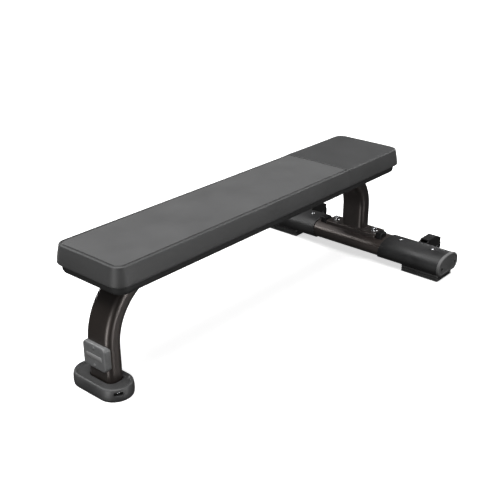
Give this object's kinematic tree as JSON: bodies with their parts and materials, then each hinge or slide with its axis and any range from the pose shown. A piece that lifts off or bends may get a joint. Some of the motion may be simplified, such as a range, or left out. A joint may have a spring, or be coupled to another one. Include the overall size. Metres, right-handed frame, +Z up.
{
  "type": "flat weight bench",
  "caption": "Flat weight bench with a long padded top on a bent tube frame, a single front leg in a rubber boot, and a wide rear cross tube with rubber feet and transport wheels.",
  "frame": {"origin": "on the floor under the middle of the bench, midway between the front of the boot and the back of the wheels", "axes": "+X along the bench from the single front leg towards the cross tube and wheels, +Y across the bench to the left as seen from the front leg, +Z up"},
  "size_m": [1.524, 0.8356, 0.4315],
  "materials": {
    "frame_paint": "satin metallic dark bronze paint",
    "main_vinyl": "matt dark grey upholstery vinyl, fine grain",
    "head_vinyl": "matt dark grey upholstery vinyl, fine grain",
    "board_plywood": "raw plywood",
    "tray_plastic": "moulded, fine texture",
    "black_plastic": "moulded, fine texture",
    "cover_plastic": "moulded, satin",
    "cap_plastic": "moulded, leather texture",
    "foot_rubber": "moulded rubber",
    "wheel_rubber": "moulded rubber",
    "badge_metal": "moulded, satin silver grey",
    "dark_screw": "black oxide",
    "bright_hardware": "zinc plated"
  },
  "bodies": {
    "frame": {"axle_bolt_left": "dark_screw", "axle_bolt_right": "dark_screw", "axle_nut_left": "bright_hardware", "axle_nut_right": "bright_hardware", "badge_block": "badge_metal", "badge_screw_1": "dark_screw", "badge_screw_2": "dark_screw", "boot_screw_left": "bright_hardware", "boot_screw_right": "bright_hardware", "cap_screw_left_1": "dark_screw", "cap_screw_left_2": "dark_screw", "cap_screw_right_1": "dark_screw", "cap_screw_right_2": "dark_screw", "cover_screw_left_1": "bright_hardware", "cover_screw_left_2": "bright_hardware", "cover_screw_right_1": "bright_hardware", "cover_screw_right_2": "bright_hardware", "cross_cover_left": "cover_plastic", "cross_cover_right": "cover_plastic", "cross_tube": "frame_paint", "cushion_head": "head_vinyl", "cushion_main": "main_vinyl", "end_cap_left": "cap_plastic", "end_cap_right": "cap_plastic", "foot_screw_left": "bright_hardware", "foot_screw_right": "bright_hardware", "front_boot": "foot_rubber", "front_leg": "frame_paint", "main_beam": "frame_paint", "pad_board": "board_plywood", "pad_bolt_1": "bright_hardware", "pad_bolt_2": "bright_hardware", "pad_bolt_3": "bright_hardware", "pad_bolt_4": "bright_hardware", "pad_bracket_front": "frame_paint", "pad_bracket_rear": "frame_paint", "rear_foot_left": "foot_rubber", "rear_foot_right": "foot_rubber", "rear_leg": "frame_paint", "saddle_bolt_left": "bright_hardware", "saddle_bolt_right": "bright_hardware", "saddle_end_cover_left": "black_plastic", "saddle_end_cover_right": "black_plastic", "saddle_nut_left": "bright_hardware", "saddle_nut_right": "bright_hardware", "saddle_plate": "frame_paint", "saddle_washer_left": "bright_hardware", "saddle_washer_right": "bright_hardware", "tray_screw_1": "dark_screw", "tray_screw_2": "dark_screw", "tray_screw_3": "dark_screw", "tray_screw_4": "dark_screw", "under_tray": "tray_plastic", "wheel_fork_left": "black_plastic", "wheel_fork_right": "black_plastic"},
    "right_wheel": {"wheel_tyre_right": "wheel_rubber", "wheel_hub_right": "cover_plastic"},
    "left_wheel": {"wheel_tyre_left": "wheel_rubber", "wheel_hub_left": "cover_plastic"}
  },
  "joints": [
    {"name": "right_wheel_spin", "type": "hinge", "parent": "frame", "child": "right_wheel", "pos_m": [0.721, -0.273, 0.0465], "axis": [0, 1, 0], "continuous": true},
    {"name": "left_wheel_spin", "type": "hinge", "parent": "frame", "child": "left_wheel", "pos_m": [0.721, 0.273, 0.0465], "axis": [0, 1, 0], "continuous": true}
  ]
}
